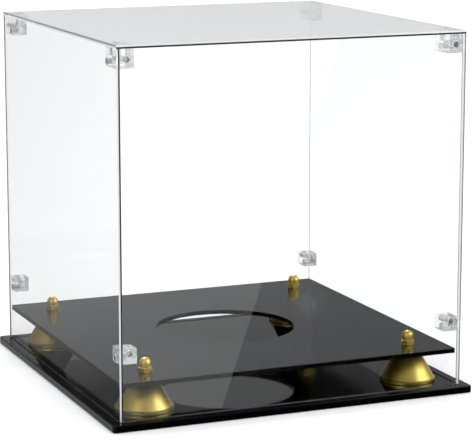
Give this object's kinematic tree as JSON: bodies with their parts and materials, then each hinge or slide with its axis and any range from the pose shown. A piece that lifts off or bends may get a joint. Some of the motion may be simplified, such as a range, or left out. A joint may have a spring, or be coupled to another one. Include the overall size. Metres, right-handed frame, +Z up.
{
  "type": "ball display case",
  "caption": "Clear box cover that lifts off a square black base; a raised deck on gold conical risers has a round seat hole that cradles a ball for display.",
  "frame": {"origin": "centre of the underside of the base plate, where the case rests on its shelf", "axes": "+Z up; the front wall faces -Y and +X is to the right of it"},
  "size_m": [0.295, 0.295, 0.2815],
  "materials": {
    "black_acrylic": "cast black acrylic, polished, mirror-like",
    "clear_acrylic": "cast clear acrylic, polished faces, cut edges",
    "clear_block": "moulded clear plastic, slightly frosted",
    "clear_pin": "moulded clear plastic with a grey cast",
    "gold_satin": "turned aluminium, gold anodised, satin",
    "gold_polished": "polished brass",
    "screw_steel": "zinc plated steel"
  },
  "bodies": {
    "case_base": {"base_plate": "black_acrylic", "deck_plate": "black_acrylic", "riser_front_left": "gold_satin", "riser_front_right": "gold_satin", "riser_back_left": "gold_satin", "riser_back_right": "gold_satin", "screw_front_left": "screw_steel", "screw_front_right": "screw_steel", "screw_back_left": "screw_steel", "screw_back_right": "screw_steel", "nut_front_left": "gold_polished", "nut_front_right": "gold_polished", "nut_back_left": "gold_polished", "nut_back_right": "gold_polished"},
    "cover": {"top_panel": "clear_acrylic", "left_panel": "clear_acrylic", "right_panel": "clear_acrylic", "front_panel": "clear_acrylic", "back_panel": "clear_acrylic", "bracket_top_front_left": "clear_block", "bracket_top_front_right": "clear_block", "bracket_top_back_left": "clear_block", "bracket_top_back_right": "clear_block", "bracket_low_front_left": "clear_block", "bracket_low_front_right": "clear_block", "bracket_low_back_left": "clear_block", "bracket_low_back_right": "clear_block", "pins_top_front_left": "clear_pin", "pins_top_front_right": "clear_pin", "pins_top_back_left": "clear_pin", "pins_top_back_right": "clear_pin", "pins_low_front_left": "clear_pin", "pins_low_front_right": "clear_pin", "pins_low_back_left": "clear_pin", "pins_low_back_right": "clear_pin"}
  },
  "joints": [
    {"name": "cover_lift", "type": "slide", "parent": "case_base", "child": "cover", "axis": [0, 0, 1], "range_m": [0, 0.3]}
  ]
}
